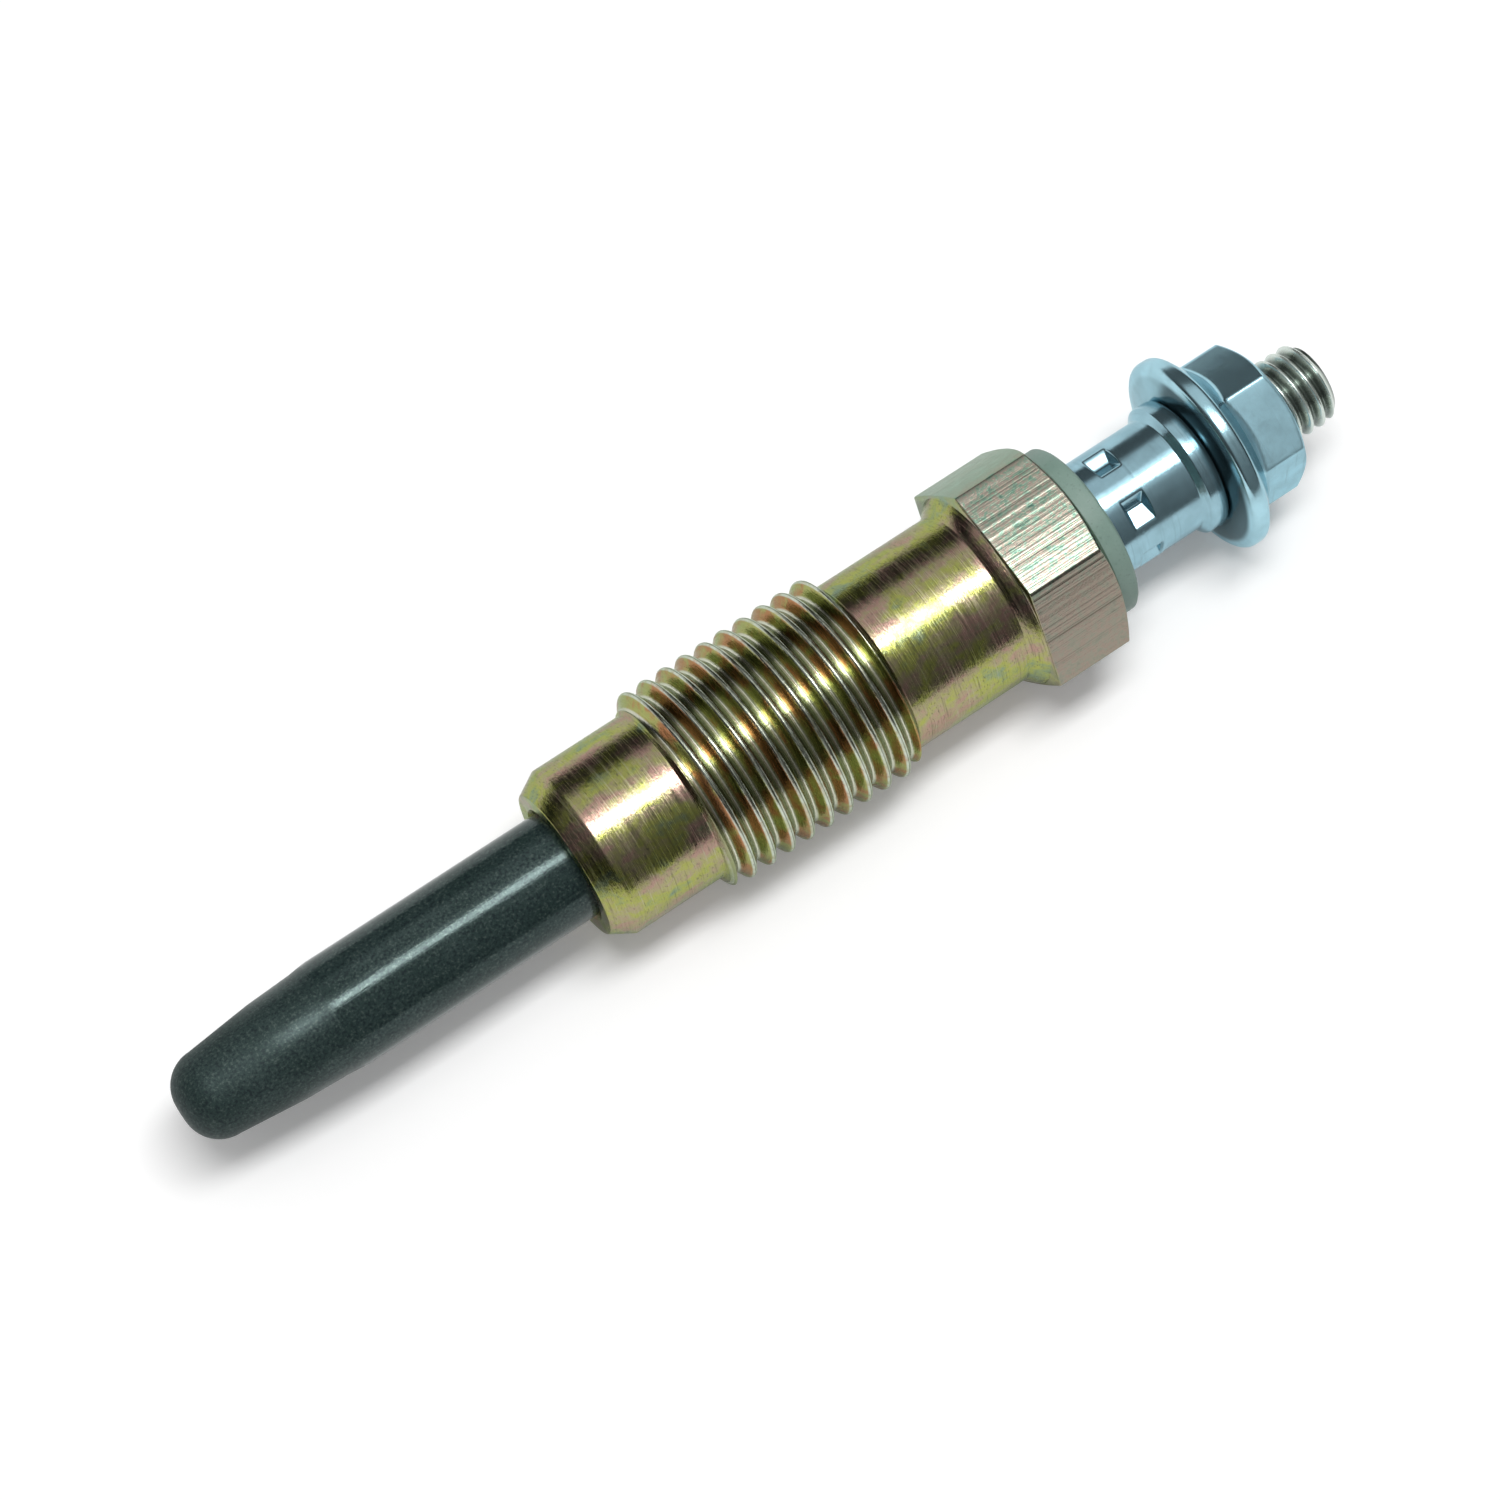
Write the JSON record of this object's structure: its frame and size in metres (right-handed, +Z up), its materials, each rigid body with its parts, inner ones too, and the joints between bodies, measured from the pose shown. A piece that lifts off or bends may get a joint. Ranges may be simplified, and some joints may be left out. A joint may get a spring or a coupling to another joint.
{
  "type": "diesel glow plug",
  "caption": "Diesel glow plug: a threaded hexagon shell with a closed glow tube that tapers at its tip, and a stud terminal with insulating washer, crimped sleeve and flange nut.",
  "frame": {"origin": "on the plug's axis, at the middle of the shell's thread", "axes": "+X along the axis from the hot tip to the terminal stud, +Z up, with a flat of the hexagon facing down"},
  "size_m": [0.0736, 0.0138, 0.012],
  "materials": {
    "shell_plating": "turned steel with yellow passivated zinc, tinted gold, green and rose",
    "tube_alloy": "dark oxidised nickel alloy, satin",
    "heating_wire": "drawn resistance wire",
    "control_wire": "drawn nickel wire",
    "powder": "compacted magnesium oxide, matt",
    "seal_rubber": "moulded rubber, matt",
    "pin_metal": "nickel plated steel with a rolled thread",
    "washer_plastic": "grey-green moulded plastic, matt",
    "sleeve_zinc": "bright bluish zinc plating",
    "nut_zinc": "bluish zinc plating, slightly matt on the flats"
  },
  "bodies": {
    "root": {"plug_shell": "shell_plating", "glow_tube": "tube_alloy", "heating_coil": "heating_wire", "control_coil": "control_wire", "filling_powder": "powder", "tube_seal": "seal_rubber", "terminal_pin": "pin_metal", "shell_seal": "seal_rubber", "insulating_washer": "washer_plastic", "terminal_sleeve": "sleeve_zinc", "flange_nut": "nut_zinc"}
  },
  "joints": []
}
